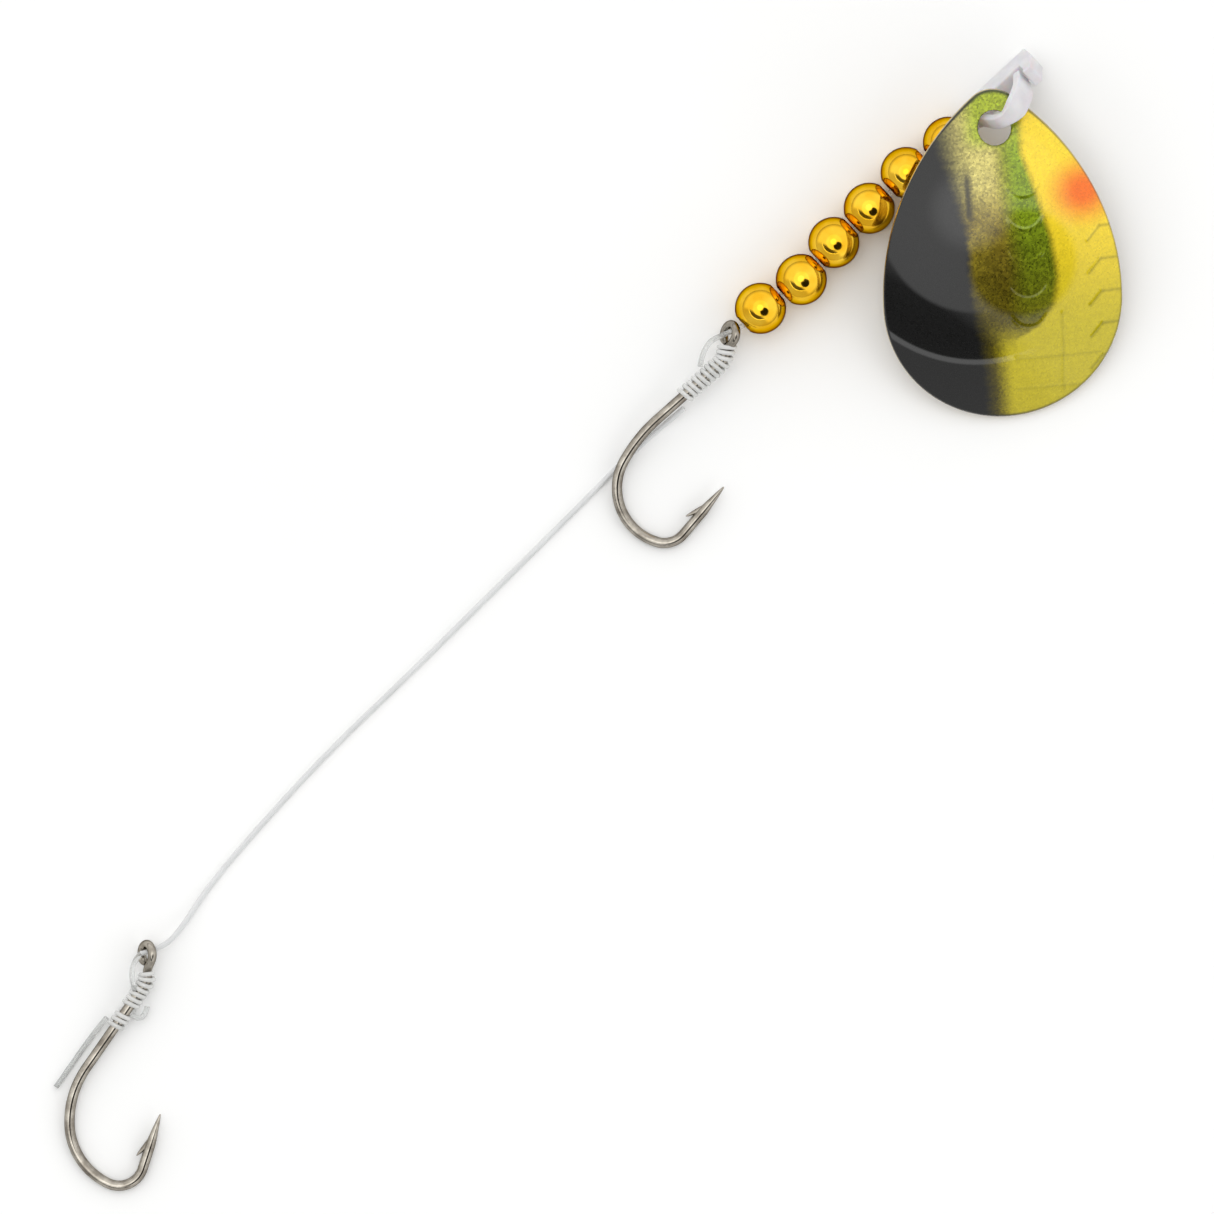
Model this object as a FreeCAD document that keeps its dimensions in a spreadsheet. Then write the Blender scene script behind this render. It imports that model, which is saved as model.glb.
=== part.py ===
"""Snelled spinner rig: a cupped teardrop blade hangs in a quick-change clevis on a monofilament line, with
six round beads and two octopus hooks snelled one behind the other. It lies as on a table: the line runs
along X, the clevis points to +X, +Z is up and the origin is on the table under the middle of the rig."""

import FreeCAD
import Part
import math
import os
from FreeCAD import Placement, Rotation, Vector

X_AXIS = Vector(1, 0, 0)
Y_AXIS = Vector(0, 1, 0)
Z_AXIS = Vector(0, 0, 1)

DIMENSIONS = [
    # the rig's place over the origin
    ("front_bead_along", 48.56, "front bead's centre, along the line from the origin"),
    ("line_aside", 9.74, "line's axis, across from the origin"),
    # line and beads
    ("line_diameter", 0.42, "monofilament"),
    ("bead_diameter", 4.1, "round bead, sold as 4 mm"),
    ("bead_bore", 1.0, "hole through a bead"),
    ("bead_face", 1.7, "flat ground round each end of the hole"),
    # blade
    ("blade_length", 26.4, "tip to tail"),
    ("tail_radius", 9.6, "round tail end of the outline"),
    ("tip_radius", 2.6, "tip of the outline"),
    ("side_radius", 20.0, "side of the outline, tangent to both ends"),
    ("cup_radius", 26.0, "outer face of the cupped metal"),
    ("cup_apex", 14.0, "highest point of the cup, from the tip"),
    ("metal_thickness", 0.5, "blade metal"),
    ("coat_thickness", 0.12, "foil and clear coat on the outer face"),
    ("coat_margin", 0.25, "bare rim left round the coat"),
    ("hole_diameter", 2.7, "hanging hole"),
    ("hole_from_tip", 2.9, "hanging hole's centre, from the tip"),
    # clevis
    ("stem_length", 7.5, "clevis from the front bead to its top face"),
    ("stem_width", 1.7, "clevis moulding, across the loop"),
    ("stem_height", 1.8, "stem of the clevis, in the plane of the loop"),
    ("guide_bore", 0.55, "lower bore of the stem, a running fit on the line"),
    ("leader_bore", 0.9, "upper bore of the stem, open at the top"),
    ("leader_bore_length", 3.2, "upper bore's wall"),
    ("arm_width", 1.2, "strap across the loop"),
    ("arm_thickness", 0.65, "strap"),
    ("clevis_roll", 25.0, "degrees that the loop leans towards the blade"),
    # hooks
    ("wire_diameter", 0.8, "hook wire"),
    ("eye_radius", 0.8, "eye ring, to the middle of its wire"),
    ("eye_wire", 0.7, "wire of the eye, thinned by forming"),
    ("point_length", 2.6, "tapered point"),
    # snells
    ("wrap_radius", 0.68, "turns of a snell, to the middle of the line"),
]

doc = FreeCAD.newDocument("spinner_rig")
sheet = doc.addObject("Spreadsheet::Sheet", "dimensions")
for row, (alias, value, note) in enumerate(DIMENSIONS, 1):
    sheet.set("A%d" % row, note)
    sheet.set("B%d" % row, str(value))
    sheet.setAlias("B%d" % row, alias)
doc.recompute()


def dim(alias):
    """A driving dimension, in millimetres or degrees."""
    return float(sheet.get(alias))


def bind(thing, **expressions):
    """Binds properties of an object to expressions over the sheet's aliases."""
    for name, expression in expressions.items():
        thing.setExpression(name, expression)


def rig(along, across, up):
    """A place given from the table under the front bead's centre: along the line, across it, and up."""
    return Vector(dim("front_bead_along") + along, dim("line_aside") + across, up)


SUBPARTS = []


def keep(thing, label, placement=None):
    """Names a finished sub-part and puts it in place."""
    thing.Label = label
    if placement is not None:
        thing.Placement = placement
    SUBPARTS.append(thing)
    return thing


def feature(label, shape, placement=None):
    """A sub-part whose shape is worked out below from the sheet's values."""
    thing = doc.addObject("Part::Feature", label)
    thing.Shape = shape
    return keep(thing, label, placement)


def boolean(kind, name, base, tool):
    """Part::Cut or Part::Common of two objects."""
    thing = doc.addObject(kind, name)
    thing.Base = base
    thing.Tool = tool
    return thing


# ---------------------------------------------------------------- line

LINE_HEIGHT = dim("bead_diameter") / 2  # the line runs through the middle of beads that lie on the table
EASE = 0.45  # share of the shorter run that a bend takes up


def tube(points, diameter):
    """Round line along straight runs joined by tangent arcs, and the radii of its arcs."""
    edges = []
    radii = []
    start = points[0]
    for before, corner, after in zip(points, points[1:], points[2:]):
        back = before - corner
        ahead = after - corner
        reach = EASE * min(back.Length, ahead.Length)
        back.normalize()
        ahead.normalize()
        turn = math.pi - back.getAngle(ahead)
        radius = reach / math.tan(turn / 2)
        inward = (back + ahead).normalize()
        middle = corner + inward * (math.hypot(reach, radius) - radius)
        enter = corner + back * reach
        leave = corner + ahead * reach
        edges.append(Part.LineSegment(start, enter).toShape())
        edges.append(Part.Arc(enter, middle, leave).toShape())
        radii.append(radius)
        start = leave
    edges.append(Part.LineSegment(start, points[-1]).toShape())
    path = Part.Wire(edges)
    ring = Part.Wire(Part.makeCircle(diameter / 2, points[0], points[1] - points[0]))
    solid = path.makePipeShell([ring], True, False)
    section = math.pi * diameter ** 2 / 4
    print("tube: length %.2f, volume over section x length %.4f, tightest bend %.2f"
          % (path.Length, solid.Volume / (section * path.Length), min(radii, default=0)))
    return solid


def wraps(start, end, turns, radius):
    """Turns of line wound on a straight stretch from start to end."""
    pitch = (end - start).Length / turns
    line = dim("line_diameter")
    path = Part.Wire(Part.makeLongHelix(pitch, pitch * turns, radius))
    ring = Part.Wire(Part.makeCircle(line / 2, Vector(radius, 0, 0), Y_AXIS))
    coil = path.makePipeShell([ring], True, True)
    coil.Placement = Placement(start, Rotation(Z_AXIS, end - start))
    return coil


# ---------------------------------------------------------------- beads

# centre of each bead behind the front one and beside the line: the holes are loose, so they sit unevenly
BEADS = [(0.06, -0.27), (-4.07, 0.27), (-8.18, 0.19), (-12.12, 0.12), (-16.04, -0.27), (-20.00, 0.27)]


def bead(number, along, across):
    """Round bead with a bore along the line and a small flat at each end of it."""
    ball = doc.addObject("Part::Sphere", "ball_%d" % number)
    bind(ball, Radius="dimensions.bead_diameter / 2")
    slice_ = doc.addObject("Part::Cylinder", "slice_%d" % number)
    bind(slice_, Radius="dimensions.bead_diameter",
         Height="sqrt(dimensions.bead_diameter^2 - dimensions.bead_face^2)")
    slice_.Placement = Placement(Vector(0, 0, -math.sqrt(dim("bead_diameter") ** 2 - dim("bead_face") ** 2) / 2),
                                 Rotation())
    bore = doc.addObject("Part::Cylinder", "bore_%d" % number)
    bind(bore, Radius="dimensions.bead_bore / 2", Height="2 * dimensions.bead_diameter")
    bore.Placement = Placement(Vector(0, 0, -dim("bead_diameter")), Rotation())
    faced = boolean("Part::Common", "faced_%d" % number, ball, slice_)
    bored = boolean("Part::Cut", "bored_%d" % number, faced, bore)
    keep(bored, "bead_%d" % number,
         Placement(rig(along, across, LINE_HEIGHT), Rotation(Z_AXIS, X_AXIS)))


# ---------------------------------------------------------------- blade

BLADE_HEADING = -130.0  # degrees: the way from the blade's tip to its tail, on the table
BLADE_TIP = (5.22, 0.25)  # tip over the table, from the front bead
TILT = 11.3  # degrees that the blade leans down
TILT_HEADING = -111.5  # degrees: the way it leans
BLADE_RISE = 5.66  # hanging hole's height over the table


def blade_outline(margin):
    """Teardrop outline less a margin: tip arc, tail arc and two side arcs tangent to them. X runs tip to tail."""
    tip = dim("tip_radius") - margin
    tail = dim("tail_radius") - margin
    side = dim("side_radius") - margin
    tip_centre = Vector(dim("tip_radius"), 0, 0)
    tail_centre = Vector(dim("blade_length") - dim("tail_radius"), 0, 0)
    gap = tail_centre.x - tip_centre.x
    back = (gap ** 2 + (side - tail) ** 2 - (side - tip) ** 2) / (2 * gap)
    drop = math.sqrt((side - tail) ** 2 - back ** 2)
    edges = []
    joins = []
    for hand in (1, -1):
        centre = Vector(tail_centre.x - back, -hand * drop, 0)
        at_tail = centre + (tail_centre - centre).normalize() * side
        at_tip = centre + (tip_centre - centre).normalize() * side
        middle = centre + ((at_tail + at_tip) / 2 - centre).normalize() * side
        edges.append(Part.Arc(at_tail, middle, at_tip).toShape())
        joins.append((at_tail, at_tip))
    (tail_left, tip_left), (tail_right, tip_right) = joins
    edges.append(Part.Arc(tip_left, tip_centre - Vector(tip, 0, 0), tip_right).toShape())
    edges.append(Part.Arc(tail_left, tail_centre + Vector(tail, 0, 0), tail_right).toShape())
    return Part.Wire(Part.__sortEdges__(edges))


def cupped(outer_radius, thickness, margin, hole_radius):
    """Cupped sheet of one thickness, cut to the outline and pierced by the hanging hole."""
    cup_centre = Vector(dim("cup_apex"), 0, -dim("cup_radius"))
    tall = dim("cup_radius")
    sheet_metal = Part.makeSphere(outer_radius, cup_centre).cut(
        Part.makeSphere(outer_radius - thickness, cup_centre))
    blank = Part.Face(blade_outline(margin)).extrude(Vector(0, 0, 2 * tall))
    blank.translate(Vector(0, 0, -tall * 0.9))
    hole = Part.makeCylinder(hole_radius, 2 * tall, Vector(dim("hole_from_tip"), 0, -tall))
    return sheet_metal.common(blank).cut(hole)


def blade_placement():
    """The blade lies back from the clevis, its hole over the stem and its low edge on the table."""
    lean = math.radians(TILT_HEADING)
    tilt = math.radians(TILT)
    normal = Vector(math.sin(tilt) * math.cos(lean), math.sin(tilt) * math.sin(lean), math.cos(tilt))
    way = math.radians(BLADE_HEADING)
    along = Vector(math.cos(way), math.sin(way), 0)
    along.z = -(normal.x * along.x + normal.y * along.y) / normal.z
    along.normalize()
    turn = Rotation(along, normal.cross(along), normal, "ZXY")
    # the hole's middle in the blade's own frame
    out = dim("cup_apex") - dim("hole_from_tip")
    sag = math.sqrt(dim("cup_radius") ** 2 - out ** 2) - dim("cup_radius")
    hole = turn.multVec(Vector(dim("hole_from_tip"), 0, sag))
    place = rig(BLADE_TIP[0], BLADE_TIP[1], 0) + Vector(
        math.cos(way) * dim("hole_from_tip"), math.sin(way) * dim("hole_from_tip"), BLADE_RISE)
    return Placement(place - hole, turn)


# ---------------------------------------------------------------- clevis

CLEVIS_START = 2.14  # foot of the stem, ahead of the front bead's centre
LATCH_GAP = 0.08  # running clearance round the knuckle
LINE_END_GAP = 0.2  # the line's end stops this far short of the leader bore
STEM_ROUNDING = 0.22
KNUCKLE = (0.95, 1.42)  # arm's hinge, from the foot: along the stem and out from its axis
KNUCKLE_RADIUS = 0.45


def clevis_placement():
    """The clevis stands on the line's axis, its loop leaning towards the blade."""
    return Placement(rig(CLEVIS_START, 0, LINE_HEIGHT), Rotation(X_AXIS, dim("clevis_roll")))


def plane_point(along, out):
    """A point of the loop's plane."""
    return Vector(along, 0, out)


def slab(outline, width):
    """Solid of one width on both sides of the loop's plane."""
    face = Part.Face(outline)
    face.translate(Vector(0, -width / 2, 0))
    return face.extrude(Vector(0, width, 0))


def clevis_body():
    """Stem with the stepped bore, the saddle for the arm's knuckle, and the block with the catch lip."""
    half = dim("stem_height") / 2
    top = dim("stem_length")
    outline = Part.makePolygon([plane_point(*p) for p in [
        (0, -half), (top, -half), (top, 0.75), (6.72, 2.45), (5.95, 2.40), (5.95, 2.08), (6.15, 1.90),
        (6.15, half), (2.0, half), (1.75, 1.15), (0.15, 1.15), (0, half), (0, -half)]])
    body = slab(outline, dim("stem_width"))
    long_edges = [e for e in body.Edges if abs(e.tangentAt(e.FirstParameter).x) > 0.99
                  and e.Length > top / 2]
    body = body.makeFillet(STEM_ROUNDING, long_edges)
    through = 3 * dim("stem_width")
    saddle = Part.makeCylinder(KNUCKLE_RADIUS + LATCH_GAP, through,
                               plane_point(*KNUCKLE) - Vector(0, through / 2, 0), Y_AXIS)
    guide = Part.makeCylinder(dim("guide_bore") / 2, 2 * top, Vector(-1, 0, 0), X_AXIS)
    mouth = Part.makeCylinder(dim("leader_bore") / 2, top, Vector(top - dim("leader_bore_length"), 0, 0), X_AXIS)
    return body.cut(saddle).cut(guide).cut(mouth)


def clevis_arm():
    """Strap from the knuckle up through the blade's hole, over its tip and down to the catch."""
    spine = Part.makePolygon([plane_point(*p) for p in [
        KNUCKLE, (1.50, 3.65), (2.00, 4.60), (2.80, 4.85), (3.78, 4.42), (4.95, 3.10), (5.60, 1.42)]])
    half = dim("arm_thickness") / 2
    outline = spine.makeOffset2D(half, 0, False, False, True)
    strap = slab(outline, dim("arm_width"))
    knuckle = Part.makeCylinder(KNUCKLE_RADIUS, dim("arm_width"),
                                plane_point(*KNUCKLE) - Vector(0, dim("arm_width") / 2, 0), Y_AXIS)
    return strap.fuse(knuckle).removeSplitter()


# ---------------------------------------------------------------- hooks


class Trail:
    """A plane path of straight runs and arcs, walked from a start with a heading."""

    def __init__(self, x, y, heading):
        self.place = Vector(x, y, 0)
        self.heading = heading
        self.edges = []

    def way(self):
        return Vector(math.cos(math.radians(self.heading)), math.sin(math.radians(self.heading)), 0)

    def run(self, length):
        end = self.place + self.way() * length
        self.edges.append(Part.LineSegment(self.place, end).toShape())
        self.place = end
        return self

    def bend(self, radius, turn):
        side = Vector(-self.way().y, self.way().x, 0) * math.copysign(radius, turn)
        centre = self.place + side
        spin = Rotation(Z_AXIS, turn / 2)
        middle = centre - spin.multVec(side)
        end = centre - spin.multVec(spin.multVec(side))
        self.edges.append(Part.Arc(self.place, middle, end).toShape())
        self.place = end
        self.heading += turn
        return self


EYE_TURN = 30.0  # degrees that the eye is turned up from the shank
NECK = 0.85
NECK_RADIUS = 1.6
SHANK_HEADING = 175.0
EYE_TWIST = 35.0  # degrees that the ring is turned round the neck
# each hook's straight shank, its bends as radius and turn, and the straight spear before the tapered point
FRONT_FORM = (6.6, [(12.5, 20.0), (4.5, 102.0), (2.0, 66.0)], 2.4)
REAR_FORM = (8.0, [(7.6, 36.0), (5.4, 64.0), (2.0, 97.0)], 2.0)
POINT_END = 0.05  # radius left at the end of the point
BARB = 1.35
BARB_LEAN = 26.0
BARB_ROOT = 0.3  # radius
BARB_END = 0.06
BARB_INSET = 0.25  # length of the barb's root inside the wire


def eye_way():
    """The way from a hook's bend to its eye, in the turned-up eye."""
    return Rotation(Z_AXIS, EYE_TURN).multVec(X_AXIS)


def neck():
    """The hook's path from the back of the eye to the start of the straight shank."""
    root = eye_way() * -dim("eye_radius")
    return Trail(root.x, root.y, 180 + EYE_TURN).run(NECK).bend(NECK_RADIUS, SHANK_HEADING - 180 - EYE_TURN)


def hook(shank_length, bends, spear):
    """Octopus hook: turned-up eye at the origin, shank along -X, round bend and barbed point towards -Y."""
    wire = dim("wire_diameter") / 2
    through_eye = Rotation(eye_way(), EYE_TWIST) * Rotation(Z_AXIS, 90)
    eye = Part.makeTorus(dim("eye_radius"), dim("eye_wire") / 2, Vector(), through_eye.multVec(eye_way()))
    root = eye_way() * -dim("eye_radius")
    trail = neck().run(shank_length)
    for radius, turn in bends:
        trail.bend(radius, turn)
    trail.run(spear)
    path = Part.Wire(trail.edges)
    section = Part.Wire(Part.makeCircle(wire, root, trail.edges[0].tangentAt(0)))
    shank = path.makePipeShell([section], True, False)
    point = Part.makeCone(wire, POINT_END, dim("point_length"), trail.place, trail.way())
    lean = Rotation(Z_AXIS, 180 - BARB_LEAN).multVec(trail.way())
    barb = Part.makeCone(BARB_ROOT, BARB_END, BARB, trail.place - lean * BARB_INSET, lean)
    whole = shank.fuse([eye, point, barb]).removeSplitter()
    return whole


FRONT_PITCH = 4.1
REAR_PITCH = 3.1


def hook_placement(eye, heading, pitch, roll):
    """Puts a hook by its eye: its shank's heading on the table, its nose-up pitch and the roll of its bend."""
    turn = Rotation(Z_AXIS, heading) * Rotation(Y_AXIS, -pitch) * Rotation(X_AXIS, roll)
    return Placement(eye, turn)


front_hook_place = hook_placement(rig(-23.20, 0.41, 2.03), 3.5, FRONT_PITCH, 3.4)
rear_hook_place = hook_placement(rig(-91.14, -4.04, 1.355), 17.0, REAR_PITCH, 0.0)


def shank_point(place, along, aside=0.0, up=0.0):
    """A point by a hook's shank: its distance from the neck, beside the shank's axis and above it."""
    start = neck()
    side = Vector(-start.way().y, start.way().x, 0)
    return place.multVec(start.place + start.way() * along - side * aside + Vector(0, 0, up))


# ---------------------------------------------------------------- build

for number, (along, across) in enumerate(BEADS, 1):
    bead(number, along, across)

feature("blade", cupped(dim("cup_radius"), dim("metal_thickness"), 0, dim("hole_diameter") / 2),
        blade_placement())
feature("blade_finish", cupped(dim("cup_radius") + dim("coat_thickness"),
                               dim("coat_thickness"), dim("coat_margin"),
                               dim("hole_diameter") / 2 + dim("coat_margin")), blade_placement())
feature("clevis_body", clevis_body(), clevis_placement())
feature("clevis_arm", clevis_arm(), clevis_placement())
feature("front_hook", hook(*FRONT_FORM), front_hook_place)
feature("rear_hook", hook(*REAR_FORM), rear_hook_place)

line = dim("line_diameter")
FLOOR_LINE = line / 2  # the line's axis where it lies on the table
front_loop_start = rig(-23.55, 0.72, 2.0)
feature("leader_line", tube([
    rig(CLEVIS_START + dim("stem_length") - dim("leader_bore_length") - LINE_END_GAP, 0, LINE_HEIGHT),
    rig(-21.6, 0, LINE_HEIGHT),
    front_loop_start], line))
feature("front_snell_loop", tube([
    front_loop_start, rig(-24.4, 1.15, 2.1), rig(-25.5, 1.02, 2.2), rig(-26.5, 0.72, 2.1), rig(-27.2, 0.25, 1.95)],
    line))
SNELL_SIDE = -0.05  # the turns sit a little to one side of the shank
SNELL_SPAN = (-0.2, 4.2)  # along the shank, from the neck
SNELL_TURNS = 9


def snell(hook_place):
    """Turns of line that bind a hook's shank."""
    start, end = (shank_point(hook_place, along, SNELL_SIDE) for along in SNELL_SPAN)
    return wraps(start, end, SNELL_TURNS, dim("wrap_radius"))


feature("front_snell", snell(front_hook_place))

TRACE = [
    shank_point(front_hook_place, 4.45, -0.75, -0.3), rig(-31.4, -1.30, 0.62), rig(-35.2, -1.12, FLOOR_LINE),
    rig(-42.0, -1.42, FLOOR_LINE), rig(-51.0, -1.68, FLOOR_LINE), rig(-60.5, -1.96, FLOOR_LINE),
    rig(-69.5, -2.06, FLOOR_LINE), rig(-77.8, -2.70, FLOOR_LINE), rig(-84.0, -3.42, FLOOR_LINE),
    rig(-87.3, -4.30, 0.5), rig(-89.8, -4.65, 1.1), rig(-91.5, -3.65, 1.4)]
feature("trace_line", tube(TRACE, line))

feature("rear_snell_loop", tube([
    TRACE[-1], rig(-92.3, -3.2, 1.55), rig(-93.3, -3.3, 1.6), rig(-94.0, -4.0, 1.6),
    rig(-94.45, -4.85, 1.6), rig(-95.25, -5.25, 1.6)], line))
feature("rear_snell", snell(rear_hook_place))
feature("rear_snell_tail", tube([
    rig(-96.0, -7.35, 0.9), rig(-95.3, -7.65, 0.85), rig(-94.2, -7.5, 0.85), rig(-93.5, -7.0, 0.9)], line))
feature("tag_end", tube([
    rig(-97.0, -5.55, 0.6), rig(-98.9, -5.80, 0.22), rig(-101.2, -6.30, 0.22), rig(-103.8, -6.85, 0.22)], line))

doc.recompute()
for thing in doc.Objects:
    if "Invalid" in thing.State or "Error" in thing.State:
        raise RuntimeError("%s did not recompute" % thing.Name)
for thing in SUBPARTS:
    if thing.Shape.isNull() or not thing.Shape.isValid():
        raise RuntimeError("%s has no valid shape" % thing.Label)
    if len(thing.Shape.Solids) != 1:
        raise RuntimeError("%s has %d solids" % (thing.Label, len(thing.Shape.Solids)))

os.makedirs("parts", exist_ok=True)
for thing in SUBPARTS:
    thing.Shape.exportStep("parts/%s.step" % thing.Label)
    box = thing.Shape.BoundBox
    print("%-17s volume %8.3f  x %7.2f %7.2f  y %7.2f %7.2f  z %6.3f %6.3f" % (
        thing.Label, thing.Shape.Volume, box.XMin, box.XMax, box.YMin, box.YMax, box.ZMin, box.ZMax))
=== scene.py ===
"""Snelled spinner rig, laid out on a pale table: a candy-painted teardrop blade hangs in a quick-change
clevis on monofilament, with six gold-plated beads and two nickelled octopus hooks snelled in tandem.
Sizes are in millimetres until a mesh or curve is made, which turns them to metres."""
import math

import bmesh
import bpy
import numpy as np
from mathutils import Matrix, Vector


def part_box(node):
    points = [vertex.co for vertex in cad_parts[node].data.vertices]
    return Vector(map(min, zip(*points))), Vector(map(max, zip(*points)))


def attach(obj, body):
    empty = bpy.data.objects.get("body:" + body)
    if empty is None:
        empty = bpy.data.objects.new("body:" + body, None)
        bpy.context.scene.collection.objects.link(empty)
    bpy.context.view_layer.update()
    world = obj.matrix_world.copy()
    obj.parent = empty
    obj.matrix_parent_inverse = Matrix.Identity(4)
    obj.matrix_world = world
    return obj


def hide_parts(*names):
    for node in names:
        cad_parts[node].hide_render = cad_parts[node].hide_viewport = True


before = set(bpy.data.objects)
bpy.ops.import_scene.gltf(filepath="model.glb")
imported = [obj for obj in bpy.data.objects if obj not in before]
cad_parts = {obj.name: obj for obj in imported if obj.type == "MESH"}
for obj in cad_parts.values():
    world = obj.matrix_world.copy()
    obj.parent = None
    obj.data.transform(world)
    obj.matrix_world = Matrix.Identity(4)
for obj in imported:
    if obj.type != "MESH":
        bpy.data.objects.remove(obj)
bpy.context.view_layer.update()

MM = 0.001

# ---------------------------------------------------------------- places, from the frame

BEAD_ASIDE = (0.06, -0.27)  # front bead, from the rig's datum on the line
LINE = 0.42  # monofilament
LINE_HEIGHT = 2.05  # the line's axis over the table
ON_TABLE = LINE / 2

front_low, front_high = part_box("bead_1")
datum = (front_low + front_high) / 2 / MM - Vector((*BEAD_ASIDE, LINE_HEIGHT))


def rig(along, across, up):
    """A place given from the table under the front bead: along the line, across it, and up, in mm."""
    return Vector((datum.x + along, datum.y + across, up))


def heading(degrees):
    """Unit vector on the table."""
    return Vector((math.cos(math.radians(degrees)), math.sin(math.radians(degrees)), 0))


# ---------------------------------------------------------------- camera

LENS = 400
SENSOR = 36
VIEW_WIDTH = 97.1  # mm across the picture at the line's height
IMAGE_TURN = -43.0  # degrees: the rig lies across the picture from corner to corner

camera_data = bpy.data.cameras.new("camera")
camera_data.lens = LENS
camera_data.sensor_width = SENSOR
camera_data.clip_start = 0.01
camera = bpy.data.objects.new("camera", camera_data)
bpy.context.scene.collection.objects.link(camera)
looked_at = rig(-45.27, -8.83, LINE_HEIGHT)
camera.location = (looked_at + Vector((0, 0, VIEW_WIDTH * LENS / SENSOR))) * MM
camera.rotation_euler = (0, 0, math.radians(IMAGE_TURN))
bpy.context.scene.camera = camera

# ---------------------------------------------------------------- hook's wire, which the line follows

EYE_TURN = 30  # degrees that the eye is turned up from the shank
EYE_RADIUS = 0.8
EYE_WIRE = 0.7
HOOK_WIRE = 0.8
NECK = 0.85
NECK_RADIUS = 1.6
SHANK_HEADING = 175
EYE_TWIST = 35  # degrees that the ring is turned round the neck
POINT = 2.6
# each hook's straight shank, its bends as radius and turn, and the straight spear before the tapered point
FRONT_FORM = (6.6, [(12.5, 20), (4.5, 102), (2.0, 66)], 2.4)
REAR_FORM = (8.0, [(7.6, 36), (5.4, 64), (2.0, 97)], 2.0)
STEP = 0.14  # spacing of the points along a swept path


def trail(place, bearing, steps):
    """Points along straight runs (length, 0) and arcs (radius, turn) in a plane, then its end and heading."""
    points = [place.copy()]
    for size, turn in steps:
        length = size if turn == 0 else abs(math.radians(turn)) * size
        count = max(2, round(length / STEP))
        for _ in range(count):
            bearing += turn / count / 2
            chord = length / count
            if turn:
                chord = 2 * size * math.sin(math.radians(abs(turn)) / count / 2)
            place = place + heading(bearing) * chord
            bearing += turn / count / 2
            points.append(place.copy())
    return points, place, bearing


def hook_frame(eye, bearing, pitch, roll):
    """Matrix, in mm, that puts a hook by its eye."""
    turn = (Matrix.Rotation(math.radians(bearing), 4, "Z") @ Matrix.Rotation(math.radians(-pitch), 4, "Y")
            @ Matrix.Rotation(math.radians(roll), 4, "X"))
    return Matrix.Translation(eye) @ turn


front_frame = hook_frame(rig(-23.20, 0.41, 2.03), 3.5, 4.1, 3.4)
rear_frame = hook_frame(rig(-91.14, -4.04, 1.355), 17.0, 3.1, 0.0)

eye_way = heading(EYE_TURN)
neck_root = eye_way * -EYE_RADIUS
neck_steps = [(NECK, 0), (NECK_RADIUS, SHANK_HEADING - 180 - EYE_TURN)]
shank_start = trail(neck_root, 180 + EYE_TURN, neck_steps)[1]


def shank_point(place, along, aside=0.0, up=0.0):
    """A point by a hook's shank: its distance from the neck, beside the shank's axis and above it, in mm."""
    way = heading(SHANK_HEADING)
    side = Vector((-way.y, way.x, 0))
    return place @ (shank_start + way * along - side * aside + Vector((0, 0, up)))


# ---------------------------------------------------------------- line


def line_curve(name, points, thickness=LINE):
    """Round line along one smooth curve, its control points given in mm. The points carry its radius."""
    curve = bpy.data.curves.new(name, "CURVE")
    curve.dimensions = "3D"
    spline = curve.splines.new("NURBS")
    spline.points.add(len(points) - 1)
    for control, point in zip(spline.points, points):
        control.co = (*(Vector(point) * MM), 1)
        control.radius = thickness / 2 * MM
    spline.order_u = 3
    spline.use_endpoint_u = True
    curve.resolution_u = 10
    curve.bevel_depth = 1.0
    curve.bevel_resolution = 5
    curve.use_fill_caps = True
    piece = bpy.data.objects.new(name, curve)
    bpy.context.scene.collection.objects.link(piece)
    return piece


TRACE = [
    shank_point(front_frame, 4.45, -0.75, -0.3), rig(-31.4, -1.30, 0.62), rig(-35.2, -1.12, ON_TABLE),
    rig(-42.0, -1.42, ON_TABLE), rig(-51.0, -1.68, ON_TABLE), rig(-60.5, -1.96, ON_TABLE),
    rig(-69.5, -2.06, ON_TABLE), rig(-77.8, -2.70, ON_TABLE), rig(-84.0, -3.42, ON_TABLE),
    rig(-87.3, -4.30, 0.5), rig(-89.8, -4.65, 1.1), rig(-91.5, -3.65, 1.4)]

trace = line_curve("trace", TRACE)
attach(trace, "line_and_hooks")
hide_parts("trace_line")

# ---------------------------------------------------------------- materials


def paint(code):
    """Linear colour from an sRGB hex value."""
    channels = [int(code[i:i + 2], 16) / 255 for i in (1, 3, 5)]
    return (*(c / 12.92 if c <= 0.04045 else ((c + 0.055) / 1.055) ** 2.4 for c in channels), 1)


def add(tree, kind, inputs=None, **settings):
    """Adds a node, with its settings and, for each input, a value or the socket that feeds it."""
    made = tree.nodes.new(kind)
    for key, value in settings.items():
        setattr(made, key, value)
    for key, value in (inputs or {}).items():
        if isinstance(value, bpy.types.NodeSocket):
            tree.links.new(value, made.inputs[key])
        else:
            made.inputs[key].default_value = value
    return made


def finish_of(name, **sockets):
    """A new material with one shader, and its node tree and shader."""
    material = bpy.data.materials.new(name)
    material.use_nodes = True
    shader = material.node_tree.nodes["Principled BSDF"]
    for key, value in sockets.items():
        shader.inputs[key.replace("_", " ")].default_value = value
    return material, material.node_tree, shader


def grain(tree, size, **inputs):
    """Noise whose features are about one size, in mm, fixed to the piece."""
    where = add(tree, "ShaderNodeTexCoord")
    noise = add(tree, "ShaderNodeTexNoise", {"Vector": where.outputs["Object"], "Scale": 1 / (size * MM)})
    for key, value in inputs.items():
        noise.inputs[key].default_value = value
    return noise.outputs["Fac"]


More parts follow.
